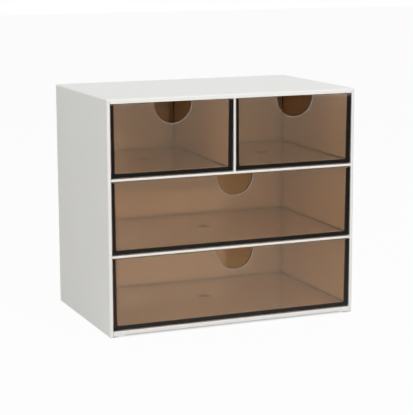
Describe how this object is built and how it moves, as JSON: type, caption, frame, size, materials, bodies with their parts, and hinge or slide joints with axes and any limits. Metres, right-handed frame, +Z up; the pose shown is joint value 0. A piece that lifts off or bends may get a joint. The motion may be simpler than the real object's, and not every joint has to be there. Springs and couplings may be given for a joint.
{
  "type": "desktop mini drawers",
  "caption": "Desktop drawer cabinet: white moulded casing with smoked clear drawers, small ones side by side above full-width ones, each with a half-round finger notch and its own slide.",
  "frame": {"origin": "on the table, under the middle of the casing's footprint", "axes": "+Z up, -Y out of the drawer fronts, +X to the right seen from the front"},
  "size_m": [0.256, 0.162, 0.2255],
  "materials": {
    "white_casing": "satin-gloss white moulded polystyrene",
    "smoked_drawer": "smoked brown transparent polystyrene, polished outside and softly frosted inside",
    "foot_pad": "matt white thermoplastic elastomer"
  },
  "bodies": {
    "casing": {"top_panel": "white_casing", "left_side": "white_casing", "right_side": "white_casing", "base_panel": "white_casing", "back_panel": "white_casing", "upper_shelf": "white_casing", "lower_shelf": "white_casing", "centre_divider": "white_casing", "foot_front_left": "foot_pad", "foot_front_right": "foot_pad", "foot_back_left": "foot_pad", "foot_back_right": "foot_pad"},
    "drawer_top_left": {"drawer_top_left": "smoked_drawer"},
    "drawer_top_right": {"drawer_top_right": "smoked_drawer"},
    "drawer_middle": {"drawer_middle": "smoked_drawer"},
    "drawer_bottom": {"drawer_bottom": "smoked_drawer"}
  },
  "joints": [
    {"name": "top_left_slide", "type": "slide", "parent": "casing", "child": "drawer_top_left", "axis": [0, -1, 0], "range_m": [0, 0.127]},
    {"name": "top_right_slide", "type": "slide", "parent": "casing", "child": "drawer_top_right", "axis": [0, -1, 0], "range_m": [0, 0.127]},
    {"name": "middle_slide", "type": "slide", "parent": "casing", "child": "drawer_middle", "axis": [0, -1, 0], "range_m": [0, 0.127]},
    {"name": "bottom_slide", "type": "slide", "parent": "casing", "child": "drawer_bottom", "axis": [0, -1, 0], "range_m": [0, 0.127]}
  ]
}
